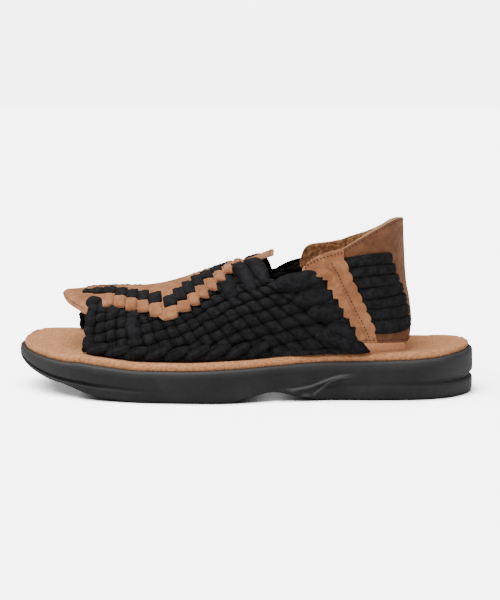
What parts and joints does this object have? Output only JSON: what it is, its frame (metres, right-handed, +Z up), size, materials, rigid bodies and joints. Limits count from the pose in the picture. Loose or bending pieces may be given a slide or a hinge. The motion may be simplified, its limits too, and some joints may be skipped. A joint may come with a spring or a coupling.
{
  "type": "huarache sandal",
  "caption": "Left open-toed huarache sandal: woven strap upper with a chevron leather overlay, corded heel strap with leather counter, suede insole and moulded sole.",
  "frame": {"origin": "centre of the sole's outline box, on the floor", "axes": "+X towards the heel, +Y towards the inner side of the foot, +Z up"},
  "size_m": [0.292, 0.1041, 0.1106],
  "materials": {
    "sole_rubber": "matte moulded, fine speckle",
    "insole_suede": "napped suede",
    "woven_webbing": "matte tubular knit",
    "nubuck_leather": "nubuck, raw cut edge",
    "stretch_cord": "matte elastic cord"
  },
  "bodies": {
    "root": {"outsole": "sole_rubber", "insole": "insole_suede", "upper": "woven_webbing", "vamp_leather": "nubuck_leather", "heel_counter": "nubuck_leather", "side_panel_lateral": "nubuck_leather", "side_panel_medial": "nubuck_leather", "heel_cord_lateral_1": "stretch_cord", "heel_cord_lateral_2": "stretch_cord", "heel_cord_lateral_3": "stretch_cord", "heel_cord_lateral_4": "stretch_cord", "heel_cord_lateral_5": "stretch_cord", "heel_cord_lateral_6": "stretch_cord", "heel_cord_lateral_7": "stretch_cord", "heel_cord_medial_1": "stretch_cord", "heel_cord_medial_2": "stretch_cord", "heel_cord_medial_3": "stretch_cord", "heel_cord_medial_4": "stretch_cord", "heel_cord_medial_5": "stretch_cord", "heel_cord_medial_6": "stretch_cord", "heel_cord_medial_7": "stretch_cord"}
  },
  "joints": []
}
